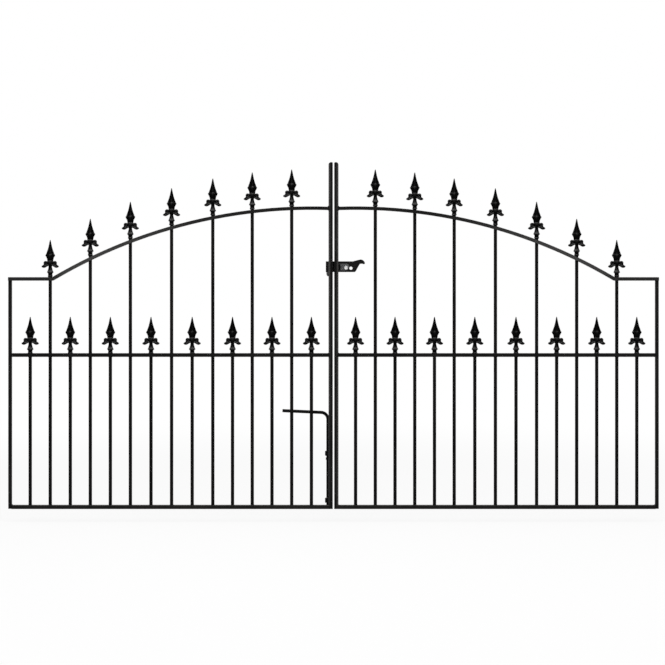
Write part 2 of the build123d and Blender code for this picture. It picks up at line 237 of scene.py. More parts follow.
def rolled_stile_coat(name, shaded_below=-1.0):
    """The coat on a meeting stile, with a grey painted highlight over the roll of its front edge.

    Below the level shaded_below, painted shade dims that highlight.
    """
    coat = Finish(name)
    place = coat.place()
    # Painted shade: the roll's highlight is dimmed below the top of the drop bolt, which keeps
    # light off it
    unshaded = coat.along(Z, place).within(shaded_below - 12 * MM, shaded_below + 4 * MM)
    painted_highlight = 0.35 + 0.65 * unshaded
    cloud = coat.grain(place, 11.0, 4.0)
    peel = coat.grain(place, PEEL_PER_METRE, 2.0)
    # Painted highlight: the roll on the front side is painted grey for the light it reflects
    front = coat.facing(Y).within(-0.05, -0.30)
    roll = coat.facing(X).size().within(0.10, 0.62) * front
    black = coat.blend(cloud.within(0.35, 0.65), grey(0.0040, 0.02), grey(0.0075, 0.03))
    colour = coat.blend(roll * painted_highlight * (0.80 + 0.20 * cloud), black, grey(0.050, 0.035))
    return coat.metal(
        Base_Color=colour,
        Roughness=0.44 + 0.10 * cloud,
        Specular_IOR_Level=0.10,
        Normal=coat.bump(peel, PEEL_STRENGTH, PEEL_DEPTH),
    )


def weld_coat():
    """The same coat over a weld: darker, and rippled by the run of the bead."""
    coat = Finish("powder_coat_over_weld")
    place = coat.place()
    ripple = coat.grain(place, 420.0, 3.0, 0.5, 0.4)
    peel = coat.grain(place, 1500.0, 1.0)
    colour = coat.blend(ripple.within(0.40, 0.72), grey(0.0016), grey(0.0050, 0.03))
    return coat.metal(
        Base_Color=colour,
        Roughness=0.40 + 0.14 * ripple,
        Specular_IOR_Level=0.12,
        Normal=coat.bump(ripple + 0.2 * peel, 0.35, 0.6 * MM),
    )


def cast_black():
    """Black over sand-cast iron: grain, soft pits and painted highlights on its ridges and ledges.
    """
    coat = Finish("black_over_cast_iron")
    place = coat.place()
    sand = coat.grain(place, 900.0, 4.0, 0.65)
    lumps = coat.grain(place, 210.0, 2.0)
    pits = coat.cells(place, 480.0).within(0.30, 0.12)
    # Painted highlight: ridges and up-facing ledges are painted pale for the lamps' glints on them
    ridge = coat.ridges().within(0.510, 0.555)
    ledge = coat.facing(Z).within(0.25, 0.36)
    black = coat.blend(lumps.within(0.30, 0.70), grey(0.0004), grey(0.0010, 0.02))
    painted_highlight = (ridge * 0.55).larger(ledge) * (0.45 + 0.5 * sand)
    colour = coat.blend(painted_highlight, black, grey(PALE_GREY_MARK, 0.01))
    relief = sand * 0.6 + lumps - 0.35 * pits
    return coat.metal(
        Base_Color=colour,
        Roughness=0.20 + 0.08 * sand,
        Specular_IOR_Level=0.12,
        Normal=coat.bump(relief, 0.12, 0.4 * MM),
    )


def zinc_plate():
    """Bright zinc plate on the pivot bolt, nut and washer: clouded, with faint machining."""
    zinc = Finish("bright_zinc_plate")
    place = zinc.place()
    cloud = zinc.grain(place, 260.0, 3.0)
    turned = zinc.grain(place, 2400.0, 2.0)
    colour = zinc.blend(cloud.within(0.35, 0.65), grey(0.80, 0.012), grey(0.68, -0.015))
    return zinc.metal(
        Base_Color=colour,
        Metallic=0.25,
        Roughness=0.46 + 0.14 * cloud,
        Normal=zinc.bump(turned, 0.10, 0.2 * MM),
    )


def dull_zinc():
    """Dull zinc on the latch's lug and catch: mottled grey with a few darker spots."""
    zinc = Finish("dull_zinc_plate")
    place = zinc.place()
    spangle = zinc.cells(place, 340.0)
    cloud = zinc.grain(place, 120.0, 4.0)
    colour = zinc.blend(cloud.within(0.35, 0.68), grey(0.085, -0.03), grey(0.15, 0.0))
    colour = zinc.blend(spangle.within(0.35, 0.60) * 0.3, colour, grey(0.06))
    return zinc.metal(
        Base_Color=colour,
        Metallic=0.35,
        Roughness=0.46 + 0.14 * cloud,
        Normal=zinc.bump(cloud + 0.3 * spangle, 0.18, 0.3 * MM),
    )


COAT = powder_coat("satin_black_powder_coat", 0.0070, 0.0110)
# Paler copy for the bottom rails: dust near the ground, and painted light on their lit tops
FOOT_COAT = powder_coat(
    "dusty_black_powder_coat_near_the_ground",
    0.0080,
    0.0125,
    top_film_level=0.075,
)
# Painted shade: the middle rails take a slightly darker copy of the coat
RAIL_COAT = powder_coat("satin_black_powder_coat_on_rails", 0.0060, 0.0100)
ARCH_COAT = powder_coat(
    "satin_black_powder_coat_on_rolled_rails",
    0.0070,
    0.0100,
    arch=[corner.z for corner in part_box("left_arched_top_rail")],
)
# Painted shade: a darker copy of the coat for the round bars and drop bolt, as bars catch less
# light
BAR_COAT = powder_coat("satin_black_powder_coat_on_round_bars", 0.0040, 0.0070, 0.06)
# Painted highlight on each stile's roll; on the left one, painted shade dims it below the drop bolt
STILE_COATS = {
    "left": rolled_stile_coat(
        "black_coat_rubbed_above_the_drop_bolt",
        shaded_below=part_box("drop_bolt_rod")[1].z,
    ),
    "right": rolled_stile_coat("black_coat_with_painted_roll_highlight"),
}
WELD = weld_coat()
CAST = cast_black()
ZINC = zinc_plate()
LUG = dull_zinc()


# ---------------------------------------------------------------- mesh work

# Corners closer than this belong together
SEAM_GAP = 0.003 * MM
# Faces that meet at less than this are one flat face
FLAT_SPLIT_DEGREES = 0.4
# Edges sharper than this are rounded
ARRIS_DEGREES = 38


def piece(name, work, body, finish):
    """Turns finished mesh work into a piece of the gate that rides on a body."""
    mesh = bpy.data.meshes.new(name)
    work.to_mesh(mesh)
    work.free()
    mesh.materials.append(finish)
    made = bpy.data.objects.new(name, mesh)
    bpy.context.scene.collection.objects.link(made)
    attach(made, body)
    return made


def ring(sides, spot):
    """A closed ring of points: spot gives the point at each turn."""
    return [spot(2 * math.pi * i / sides) for i in range(sides)]


def shade(work, angle_degrees=32.0):
    """Smooth faces that stay crisp where two of them meet more sharply than the angle."""
    limit = math.radians(angle_degrees)
    for face in work.faces:
        face.smooth = True
    for edge in work.edges:
        sharp = len(edge.link_faces) == 2 and edge.calc_face_angle(0.0) > limit
        edge.smooth = not sharp


def cad_work(node):
    """A working copy of a node's mesh, welded along its seams."""
    work = bmesh.new()
    work.from_mesh(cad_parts[node].data)
    bmesh.ops.remove_doubles(work, verts=work.verts[:], dist=SEAM_GAP)
    return work


def solids_of(node):
    """Lowest and highest corner of every solid of a node, from left to right."""
    work = cad_work(node)
    left = set(work.verts)
    boxes = []
    while left:
        batch = [left.pop()]
        low, high = batch[0].co.copy(), batch[0].co.copy()
        while batch:
            corner = batch.pop()
            low = Vector(map(min, low, corner.co))
            high = Vector(map(max, high, corner.co))
            for edge in corner.link_edges:
                other = edge.other_vert(corner)
                if other in left:
                    left.remove(other)
                    batch.append(other)
        boxes.append((low, high))
    work.free()
    return sorted(boxes, key=lambda box: (box[0].x, box[0].z))


def eased(node, radius_mm, body, finish=COAT):
    """Replaces a node by a copy with rounded arrises, as rolled or filed steel has them."""
    work = cad_work(node)
    split = math.radians(FLAT_SPLIT_DEGREES)
    bmesh.ops.dissolve_limit(work, angle_limit=split, verts=work.verts[:], edges=work.edges[:])
    arris = math.radians(ARRIS_DEGREES)
    arrises = [edge for edge in work.edges if edge.calc_face_angle(0.0) > arris]
    bmesh.ops.bevel(
        work,
        geom=arrises,
        offset=radius_mm * MM,
        offset_type="OFFSET",
        segments=2,
        profile=0.5,
        affect="EDGES",
        clamp_overlap=True,
    )
    shade(work)
    made = piece(node + "_eased", work, body, finish)
    flats = made.modifiers.new("flats_stay_flat", "WEIGHTED_NORMAL")
    flats.keep_sharp = True
    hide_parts(node)


def ring_stack(work, rings):
    """Skins a stack of closed rings, each a list of points, and caps its two ends."""
    rows = [[work.verts.new(point) for point in points] for points in rings]
    count = len(rows[0])
    for lower, upper in zip(rows, rows[1:]):
        for i in range(count):
            j = (i + 1) % count
            work.faces.new((lower[i], lower[j], upper[j], upper[i]))
    work.faces.new(rows[0][::-1])
    work.faces.new(rows[-1])


def seat_of(low, high):
    """The middle of a solid's underside, from its two corners."""
    return Vector(((low.x + high.x) / 2, (low.y + high.y) / 2, low.z))


# ---------------------------------------------------------------- spearheads

# All sizes of the casting are in millimetres, and its levels start at its seat.

BLADE_DEPTH_SHARE = 0.62
BLADE_SIDES = 48
STEM_SIDES = 28
SCROLL_SIDES = 16
# The blade's ridges are crisp, and round off below the level of its shoulder
RIDGE_CRISPNESS = 1.03
SHOULDER_LEVEL = 68
ROUNDING_PER_MM = 0.045
EAR_HALF_DEPTH = 4.0
# The size of the grains that the forms are run together with
GRAIN_SIZE = 0.5
CASTING_TRIANGLES = 5200

# The blade from waist to tip, as level and half width
BLADE = [
    (50.0, 9.6), (56.0, 11.0), (62.0, 11.8), (66.0, 12.5), (69.5, 13.6), (73.0, 15.5),
    (76.5, 17.4), (78.6, 18.4), (79.3, 18.6), (80.0, 18.5), (82.0, 17.1), (84.4, 15.5),
    (88.0, 14.2), (93.0, 12.5), (99.0, 10.3), (106.0, 8.2), (113.0, 6.4), (120.0, 4.9),
    (126.0, 3.7), (131.0, 2.7), (134.8, 1.9), (137.0, 0.8),
]

# Neck, flared rim, cone and stem, as radius and level
STEM = [
    (0.4, 0.0), (9.8, 0.0), (9.8, 1.0), (9.1, 2.4), (8.4, 4.0), (8.3, 9.0), (8.8, 11.5),
    (10.3, 13.2), (12.0, 14.4), (12.4, 15.5), (12.3, 16.6), (11.4, 18.2), (10.3, 20.5),
    (9.2, 23.6), (8.3, 27.2), (7.3, 31.0), (6.7, 34.5), (6.6, 38.5), (7.0, 42.5),
    (7.9, 47.0), (9.0, 52.0), (9.4, 56.0), (8.4, 59.0), (0.4, 59.5),
]

# Outline of one ear, from the waist over the scroll and along the drooping barb to the root
EAR = [
    (5.0, 55.6), (10.5, 56.6), (15.5, 57.9), (19.5, 57.9), (23.2, 55.4), (24.8, 51.0),
    (24.3, 46.7), (25.1, 44.0), (28.8, 41.3), (31.6, 39.2), (32.2, 37.5), (31.4, 35.1),
    (28.0, 32.9), (23.0, 32.0), (18.0, 33.4), (13.5, 36.2), (9.0, 39.2), (5.0, 41.4),
]

# The rolled rim of the scroll: place, half width and half depth
SCROLL = [
    (8.0, 53.4, 2.6, 5.2), (13.0, 54.3, 2.8, 5.8), (18.6, 53.9, 2.9, 6.2), (21.3, 50.3, 2.9, 6.2),
    (20.6, 46.2, 2.7, 5.8), (17.1, 44.4, 2.4, 5.4), (14.0, 46.4, 2.1, 5.2), (14.7, 49.6, 2.1, 5.6),
]

# The rib down the drooping barb
BARB = [
    (5.0, 43.5, 2.8, 5.6), (11.0, 41.4, 3.6, 6.2), (17.0, 38.8, 4.2, 6.0), (23.0, 37.4, 3.8, 5.2),
    (28.0, 37.1, 2.8, 3.8), (31.2, 37.3, 0.8, 1.6),
]


def blade_ring(level, half):
    """A ring round the four faces of the blade."""
    depth = half * BLADE_DEPTH_SHARE
    crispness = RIDGE_CRISPNESS + max(SHOULDER_LEVEL - level, 0) * ROUNDING_PER_MM

    def spot(turn):
        run = abs(math.cos(turn)) ** crispness + abs(math.sin(turn)) ** crispness
        reach = run ** (-1 / crispness)
        return Vector((half * reach * math.cos(turn), depth * reach * math.sin(turn), level)) * MM

    return ring(BLADE_SIDES, spot)


def stem_ring(radius, level):
    """A round ring about the casting's own upright line."""

    def spot(turn):
        return Vector((radius * math.cos(turn), radius * math.sin(turn), level))

    return ring(STEM_SIDES, spot)


def leaning_ring(centre, across, half_width, half_depth):
    """A ring about a spot of a path: its width lies across the path and its depth along Y."""

    def spot(turn):
        depth = Vector((0, half_depth * math.sin(turn), 0))
        return (centre + (across * half_width * math.cos(turn) + depth)) * MM

    return ring(SCROLL_SIDES, spot)


def swept_bar(work, rows):
    """A bar along a path: each row holds X, Z, half width and half depth."""
    rings = []
    last = len(rows) - 1
    for i, (x, z, half_width, half_depth) in enumerate(rows):
        before, after = rows[max(i - 1, 0)], rows[min(i + 1, last)]
        along = Vector((after[0] - before[0], 0, after[1] - before[1])).normalized()
        across = Vector((-along.z, 0, along.x))
        rings.append(leaning_ring(Vector((x, 0, z)), across, half_width, half_depth))
    ring_stack(work, rings)


def along_curve(knots, steps):
    """Smooth run through a list of number tuples, with a Catmull-Rom curve."""
    run = []
    padded = [knots[0]] + list(knots) + [knots[-1]]
    for a, b, c, d in zip(padded, padded[1:], padded[2:], padded[3:]):
        for i in range(steps):
            t = i / steps
            row = []
            for p, q, r, s in zip(a, b, c, d):
                slope_in, slope_out = (r - p) / 2, (s - q) / 2
                rise = r - q
                row.append(
                    q + slope_in * t
                    + (3 * rise - 2 * slope_in - slope_out) * t * t
                    + (slope_in + slope_out - 2 * rise) * t * t * t
                )
            run.append(tuple(row))
    run.append(tuple(knots[-1]))
    return run


def spearhead_shells():
    """Every form of the casting in one mesh, each a closed shell that overlaps the next."""
    work = bmesh.new()
    ring_stack(work, [blade_ring(level, half) for level, half in BLADE])
    ring_stack(work, [stem_ring(radius * MM, level * MM) for radius, level in STEM])
    for side in (-1, 1):
        before = len(work.verts)
        for knots in (SCROLL, BARB):
            swept_bar(work, along_curve(knots, 5))
        outline = along_curve(EAR, 3)
        faces = (-EAR_HALF_DEPTH, EAR_HALF_DEPTH)
        ring_stack(work, [[Vector((x, y, z)) * MM for x, z in outline] for y in faces])
        work.verts.ensure_lookup_table()
        mirror = Matrix.Scale(side, 4, Vector((1, 0, 0)))
        bmesh.ops.transform(work, matrix=mirror, verts=work.verts[before:])
    bmesh.ops.recalc_face_normals(work, faces=work.faces[:])
    return work


def as_modified(made):
    """An object as its modifiers leave it."""
    bpy.context.view_layer.update()
    return made.evaluated_get(bpy.context.evaluated_depsgraph_get())


def cast_spearhead():
    """One closed casting, its forms run together with soft fillets, as sand casting leaves them."""
    work = spearhead_shells()
    mesh = bpy.data.meshes.new("casting_pattern")
    work.to_mesh(mesh)
    work.free()
    pattern = bpy.data.objects.new("casting_pattern", mesh)
    bpy.context.scene.collection.objects.link(pattern)
    fused = pattern.modifiers.new("fused", "REMESH")
    fused.mode = "VOXEL"
    fused.voxel_size = GRAIN_SIZE * MM
    fused.adaptivity = 0.0
    softened = pattern.modifiers.new("softened", "SMOOTH")
    softened.factor = 0.5
    softened.iterations = 2
    triangles = len(as_modified(pattern).data.polygons) * 2
    thinned = pattern.modifiers.new("thinned", "DECIMATE")
    thinned.ratio = CASTING_TRIANGLES / triangles
    cast = bpy.data.meshes.new_from_object(as_modified(pattern))
    bpy.data.objects.remove(pattern)
    return cast


SPEAR = cast_spearhead()


def spear_row(side, kind):
    """The spearheads of one kind on one leaf, each standing on its seat."""
    node = f"{side}_{kind}_spearheads"
    work = bmesh.new()
    for low, high in solids_of(node):
        before = len(work.verts)
        work.from_mesh(SPEAR)
        work.verts.ensure_lookup_table()
        bmesh.ops.translate(work, vec=seat_of(low, high), verts=work.verts[before:])
    shade(work, angle_degrees=50.0)
    made = piece(node + "_cast", work, LEAF_BODY[side], CAST)
    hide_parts(node)


# ---------------------------------------------------------------- welds

# Throats of the fillets at bars and spearheads, and radii of the straight beads
BAR_FOOT_THROAT = 2.6 * MM
UNDER_RAIL_THROAT = 2.2 * MM
OVER_RAIL_THROAT = 2.0 * MM
SHORT_SPEAR_THROAT = 1.7 * MM
TALL_SPEAR_THROAT = 3.0 * MM
RAIL_END_BEAD = 2.2 * MM
RAIL_FRONT_BEAD = 2.0 * MM
RAIL_TO_POST_BEAD = 1.8 * MM
CROWN_BEAD = 2.8 * MM
FOOT_CORNER_BEAD = 3.4 * MM
POST_HEAD_BEAD = 1.9 * MM
HINGE_EYE_BEAD = 1.5 * MM
GUDGEON_BEAD = 2.2 * MM
CATCH_BEAD = 2.0 * MM
GUIDE_BEAD = 1.3 * MM

SPEAR_SEAT_RADIUS = 9.6 * MM
BAR_RADIUS = 6.35 * MM
GUDGEON_ARM_HEIGHT = 10 * MM
# Beads stop this far short of a rail's edges
EDGE_INSET = 0.6 * MM
# A bar that stands this far over the middle rail goes on to the arch
PASSES_RAIL = 50 * MM
# One ripple of a straight bead
RIPPLE = 1.6 * MM
BEAD_SIDES = 10
COLLAR_SIDES = 24
# Across a fillet, as shares of its throat: outwards from the bar, and off the face
FILLET = [(-0.6, 0.0), (0.0, 1.05), (0.42, 0.62), (0.72, 0.32), (1.05, 0.0), (0.6, -0.3)]


def lumpy(seed_text, count, least, most):
    """A closed run of small ripples, the same each time for the same weld."""
    dice = random.Random(seed_text)
    start = [dice.uniform(least, most) for _ in range(count)]
    return [(start[i] + start[(i + 1) % count] + start[i - 1]) / 3 for i in range(count)]


def collar_weld(work, seed_text, centre, radius, throat, up):
    """A fillet weld round a bar, on a level face: up is 1 above the face and -1 below it."""
    slices = []
    for i, lump in enumerate(lumpy(seed_text, COLLAR_SIDES, 0.72, 1.18)):
        turn = 2 * math.pi * i / COLLAR_SIDES
        out = Vector((math.cos(turn), math.sin(turn), 0))
        size = throat * lump
        corners = []
        for reach, rise in FILLET:
            # the side inside the bar keeps one depth
            away = radius + reach * (throat if reach < 0 else size)
            corners.append(centre + out * away + Vector((0, 0, up * rise * size)))
        slices.append([work.verts.new(corner) for corner in corners])
    for i in range(COLLAR_SIDES):
        here, there = slices[i], slices[(i + 1) % COLLAR_SIDES]
        for k in range(len(FILLET)):
            m = (k + 1) % len(FILLET)
            work.faces.new((here[k], there[k], there[m], here[m]))


def bead_ring(centre, aside, upward, size):
    """A round ring in the plane of two directions."""

    def spot(turn):
        return centre + (aside * math.cos(turn) + upward * math.sin(turn)) * size

    return ring(BEAD_SIDES, spot)


def bead(work, seed_text, start, end, radius):
    """A straight bead of weld from start to end, half sunk in the corner it fills."""
    dice = random.Random(seed_text)
    start, end = Vector(start), Vector(end)
    steps = max(6, int((end - start).length / RIPPLE))
    along = (end - start).normalized()
    aside = along.orthogonal().normalized()
    upward = along.cross(aside)
    rings = []
    for i in range(steps + 1):
        share = i / steps
        # nearly full along its run, and drawn in at both ends
        swell = math.sin(math.pi * min(max(share, 0.04), 0.96)) ** 0.35
        size = radius * swell * dice.uniform(0.88, 1.10)
        rings.append(bead_ring(start.lerp(end, share), aside, upward, size))
    ring_stack(work, rings)


def weld_piece(name, work, body):
    """Turns a group of welds into one piece."""
    bmesh.ops.recalc_face_normals(work, faces=work.faces[:])
    shade(work, angle_degrees=60.0)
    piece(name, work, body, WELD)


def collar_welds(work, side):
    """The fillets round the bars and at the seats of the spearheads of one leaf."""
    middle_low, middle_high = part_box(f"{side}_middle_rail")
    bars = solids_of(f"{side}_short_bars") + solids_of(f"{side}_tall_bars")
    for number, (low, high) in enumerate(bars):
        foot = seat_of(low, high)
        radius = (high.x - low.x) / 2
        mark = f"{side} bar {number}"
        collar_weld(work, mark + " foot", foot, radius, BAR_FOOT_THROAT, 1)
        under = Vector((foot.x, foot.y, middle_low.z))
        collar_weld(work, mark + " under the middle rail", under, radius, UNDER_RAIL_THROAT, -1)
        if high.z > middle_high.z + PASSES_RAIL:
            over = Vector((foot.x, foot.y, middle_high.z))
            collar_weld(work, mark + " over the middle rail", over, radius, OVER_RAIL_THROAT, 1)
    for kind, radius, throat, up in (
        ("short", SPEAR_SEAT_RADIUS, SHORT_SPEAR_THROAT, 1),
        ("tall", BAR_RADIUS, TALL_SPEAR_THROAT, -1),
    ):
        for number, (low, high) in enumerate(solids_of(f"{side}_{kind}_spearheads")):
            mark = f"{side} {kind} spear {number}"
            collar_weld(work, mark, seat_of(low, high), radius, throat, up)


def leaf_welds(side):
    """Every weld of one leaf, as one piece."""
    work = bmesh.new()
    collar_welds(work, side)
    rails = {name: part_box(f"{side}_{name}_rail") for name in ("bottom", "middle")}
    stile_low, stile_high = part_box(f"{side}_meeting_stile")
    post_low, post_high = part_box(f"{side}_hanging_stile")
    if side == "left":
        stile_face, post_face, inward = stile_low.x, post_high.x, 1
    else:
        stile_face, post_face, inward = stile_high.x, post_low.x, -1
    bottom_low, bottom_high = rails["bottom"]
    front, back = bottom_low.y, bottom_high.y
    for name, (low, high) in rails.items():
        foot, head = low.z + EDGE_INSET, high.z - EDGE_INSET
        for level in (foot, high.z) if name == "middle" else (high.z,):
            start = (stile_face, front + 9 * MM, level)
            end = (stile_face, back - 1 * MM, level)
            bead(work, f"{side} {name} {level}", start, end, RAIL_END_BEAD)
        toe, depth = stile_face + inward * 4 * MM, front + 2.2 * MM
        start, end = (toe, depth, foot), (toe, depth, head)
        bead(work, f"{side} {name} front", start, end, RAIL_FRONT_BEAD)
        for depth in (post_low.y, post_high.y):
            start, end = (post_face, depth, foot), (post_face, depth, head)
            bead(work, f"{side} {name} post {depth}", start, end, RAIL_TO_POST_BEAD)
    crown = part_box(f"{side}_arched_top_rail")[1].z
    middle_low, middle_high = rails["middle"]
    for level in (crown, crown - (middle_high.z - middle_low.z)):
        start = (stile_face, front + 1.5 * MM, level)
        end = (stile_face, back - 1.5 * MM, level)
        bead(work, f"{side} crown {level}", start, end, CROWN_BEAD)
    start = (post_face, front + 1 * MM, bottom_high.z)
    end = (post_face, back - 1 * MM, bottom_high.z)
    bead(work, f"{side} foot corner", start, end, FOOT_CORNER_BEAD)
    for depth in (post_low.y, post_high.y):
        start = (post_low.x + 0.8 * MM, depth, post_high.z)
        end = (post_high.x - 0.8 * MM, depth, post_high.z)
        bead(work, f"{side} head {depth}", start, end, POST_HEAD_BEAD)
    weld_piece(f"{side}_leaf_welds", work, LEAF_BODY[side])


def hinge_welds(side):
    """Beads between a hanging stile and its eyes, and between jamb plates and gudgeon arms."""
    work = bmesh.new()
    stile_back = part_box(f"{side}_hanging_stile")[1].y
    for number, (low, high) in enumerate(solids_of(f"{side}_hinge_eyes")):
        middle = (low.x + high.x) / 2
        for x in (middle - 4 * MM, middle + 4 * MM):
            foot = (x, stile_back, low.z + 1.5 * MM)
            head = (x, stile_back, high.z - 1.5 * MM)
            bead(work, f"{side} eye {number} {x}", foot, head, HINGE_EYE_BEAD)
    weld_piece(f"{side}_hinge_eye_welds", work, LEAF_BODY[side])
    work = bmesh.new()
    plates = solids_of(f"{side}_jamb_plates")
    arms = solids_of(f"{side}_gudgeons")
    for number, (plate, arm) in enumerate(zip(plates, arms)):
        face = plate[1].x if side == "left" else plate[0].x
        arm_top = plate[0].z + (plate[1].z - plate[0].z) / 2 + GUDGEON_ARM_HEIGHT / 2
        for level in (arm_top, arm_top - GUDGEON_ARM_HEIGHT):
            start = (face, plate[0].y + 2 * MM, level)
            end = (face, arm[1].y - 2 * MM, level)
            bead(work, f"{side} arm {number} {level}", start, end, GUDGEON_BEAD)
    weld_piece(f"{side}_gudgeon_welds", work, "post_fixings")


def fitting_welds():
    """Beads that hold the hinges, the latch's lug and catch, and the drop bolt's guides."""
    for side in SIDES:
        hinge_welds(side)
    work = bmesh.new()
    lug_low, lug_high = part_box("latch_bracket")
    # two thick runs over the lug's front and a thin one behind it
    for shift, depth, radius in (
        (0.4, lug_low.y + 0.4 * MM, 4.0 * MM),
        (5.2, lug_low.y + 1.4 * MM, 3.4 * MM),
        (0.4, lug_high.y, 1.2 * MM),
    ):
        start = (lug_low.x + shift * MM, depth, lug_low.z + 0.5 * MM)
        end = (lug_low.x + shift * MM, depth, lug_high.z - 0.5 * MM)
        bead(work, f"lug {shift} {depth}", start, end, radius)
    weld_piece("latch_lug_weld", work, "right_leaf")
    work = bmesh.new()
    stile_low, stile_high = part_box("left_meeting_stile")
    catch_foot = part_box("latch_catch")[0].z
    start = (stile_low.x, stile_high.y, catch_foot + 3 * MM)
    end = (stile_low.x, stile_high.y, catch_foot + 13 * MM)
    bead(work, "catch", start, end, CATCH_BEAD)
    for guide in ("drop_bolt_upper_guide", "drop_bolt_lower_guide"):
        low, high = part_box(guide)
        for level in (low.z, high.z):
            start = (stile_low.x + 2 * MM, stile_high.y, level)
            end = (stile_high.x - 1 * MM, stile_high.y, level)
            bead(work, f"{guide} {level}", start, end, GUIDE_BEAD)
    weld_piece("left_fitting_welds", work, "left_leaf")


# ---------------------------------------------------------------- latch fasteners

HEXAGON_STEPS = 48
# The turned face of a bolt head or nut, as a share of its width across flats
TURNED_FACE_SHARE = 0.94
# How far back a corner is cut, for how far it sticks out past the turned face
CHAMFER_SLOPE = 0.55
SHANK_STEPS = 32
SHANK_RADIUS = 4.0 * MM
SHANK_END_RADIUS = 3.3 * MM
SHANK_CHAMFER = 0.8 * MM


def hexagon_reach(turn, across_flats):
    """From the middle of a hexagon to its edge, at one turn."""
    sector = (turn + math.pi / 6) % (math.pi / 3) - math.pi / 6
    return across_flats / 2 / math.cos(sector)


def round_outline(reach, depth):
    """The outline of a round ring: the same reach at every turn."""
    return lambda turn: (reach, depth)


def upright_ring(centre, sides, outline):
    """A ring about a line along Y: outline gives its reach and depth at each turn."""

    def spot(turn):
        reach, depth = outline(turn)
        return centre + Vector((reach * math.cos(turn), depth, reach * math.sin(turn)))

    return ring(sides, spot)


def hexagon_stack(work, centre, across_flats, low, high, outer_end):
    """A hexagon along Y, its corners turned off at its outer end: -1 is low and 1 is high."""
    face = across_flats / 2 * TURNED_FACE_SHARE

    def plain(depth):
        return lambda turn: (hexagon_reach(turn, across_flats), depth)

    def cut_corners(depth):
        def outline(turn):
            reach = hexagon_reach(turn, across_flats)
            return reach, depth - outer_end * ((reach - face) * CHAMFER_SLOPE)

        return outline

    if outer_end < 0:
        outlines = [round_outline(face, low), cut_corners(low), plain(high)]
    else:
        outlines = [plain(low), cut_corners(high), round_outline(face, high)]
    ring_stack(work, [upright_ring(centre, HEXAGON_STEPS, outline) for outline in outlines])


def latch_fasteners():
    """The pivot bolt with its head, and its nut, each in the place of its node."""
    lug_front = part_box("latch_bracket")[0].y
    for node in ("latch_pivot_bolt", "latch_pivot_nut"):
        low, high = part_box(node)
        flats = min(high.x - low.x, high.z - low.z)
        centre = Vector(((low.x + high.x) / 2, 0, (low.z + high.z) / 2))
        work = bmesh.new()
        if node == "latch_pivot_bolt":
            hexagon_stack(work, centre, flats, low.y, lug_front, -1)
            shank = (
                round_outline(SHANK_RADIUS, lug_front - 1 * MM),
                round_outline(SHANK_RADIUS, high.y - SHANK_CHAMFER),
                round_outline(SHANK_END_RADIUS, high.y),
            )
            ring_stack(work, [upright_ring(centre, SHANK_STEPS, outline) for outline in shank])
        else:
            hexagon_stack(work, centre, flats, low.y, high.y, 1)
        bmesh.ops.recalc_face_normals(work, faces=work.faces[:])
        shade(work, angle_degrees=25.0)
        made = piece(node + "_turned", work, "right_leaf", ZINC)
        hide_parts(node)


# ---------------------------------------------------------------- putting it together


def finish_node(node, material):
    """Gives a node that stays as it is its finish."""
    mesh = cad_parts[node].data
    mesh.materials.clear()
    mesh.materials.append(material)


for side in SIDES:
    leaf = LEAF_BODY[side]
    for name, finish in (
        ("hanging_stile", COAT),
        ("bottom_rail", FOOT_COAT),
        ("middle_rail", RAIL_COAT),
        ("arched_top_rail", ARCH_COAT),
    ):
        eased(f"{side}_{name}", 0.7, leaf, finish)
    eased(f"{side}_meeting_stile", 0.8, leaf, STILE_COATS[side])
    eased(f"{side}_hinge_eyes", 0.5, leaf)
    eased(f"{side}_jamb_plates", 0.8, "post_fixings")
    eased(f"{side}_gudgeons", 0.6, "post_fixings")
    for name in ("short_bars", "tall_bars"):
        finish_node(f"{side}_{name}", BAR_COAT)
    for kind in ("short", "tall"):
        spear_row(side, kind)
    leaf_welds(side)

eased("latch_lever", 0.6, "latch_lever")
eased("latch_bracket", 0.5, "right_leaf", LUG)
eased("latch_catch", 0.6, "left_leaf", LUG)
fitting_welds()
finish_node("latch_washer", ZINC)
latch_fasteners()
for name in ("upper_guide", "lower_guide", "rod", "collar"):
    finish_node(f"drop_bolt_{name}", BAR_COAT)


# ---------------------------------------------------------------- studio

rail_low, rail_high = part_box("left_bottom_rail")
left_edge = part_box("left_hanging_stile")[0].x
right_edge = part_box("right_hanging_stile")[1].x
GATE_MIDDLE = (left_edge + right_edge) / 2
PAIR_WIDTH = right_edge - left_edge
RAIL_DEPTH_MIDDLE = (rail_low.y + rail_high.y) / 2
LEAF_FOOT = rail_low.z

FLOOR_DROP = 0.05
FLOOR_HALF_WIDTH = 60.0
PAPER_GREY = 0.90
# How much of the floor near the gate is plain white; the rest of it shows the shadow
FLOOR_WHITE_SHARE = 0.86
# What a mirror keeps of the white floor and the white room in front of the gate
FLOOR_IN_MIRROR = 0.14
ROOM_IN_MIRROR = 0.08
# How much of the room's white falls on things
ROOM_FILL = 0.45
AIM_OVER_FOOT = 0.6
# Name, place from the gate's middle and foot, width, height and level of each soft box
SOFTBOXES = [
    ("front_box", (0.0, -4.6, 3.8), 3.6, 1.4, 0.20),
    ("overhead_box", (0.0, -1.4, 3.2), 3.6, 1.2, 0.46),
    ("side_box", (-4.0, -1.8, 5.0), 1.6, 1.0, 0.12),
    ("side_box", (4.0, -1.8, 5.0), 1.6, 1.0, 0.12),
]
CAMERA_DISTANCE = 7.0
CAMERA_ASIDE = 3.75 * MM
SENSOR_WIDTH = 36.0
# The view is this many times as wide as the closed pair
VIEW_OVER_PAIR = 1.023077
EYE_OVER_FOOT = 1.008
VIEW_MIDDLE_OVER_FOOT = 0.6605


def seen_directly(recipe):
    """1 for rays from the camera, a mirror or a pane, 0 for the light that falls on things."""
    seen = recipe.ray("Is Camera Ray").larger(recipe.ray("Is Glossy Ray"))
    return seen.larger(recipe.ray("Is Transmission Ray"))


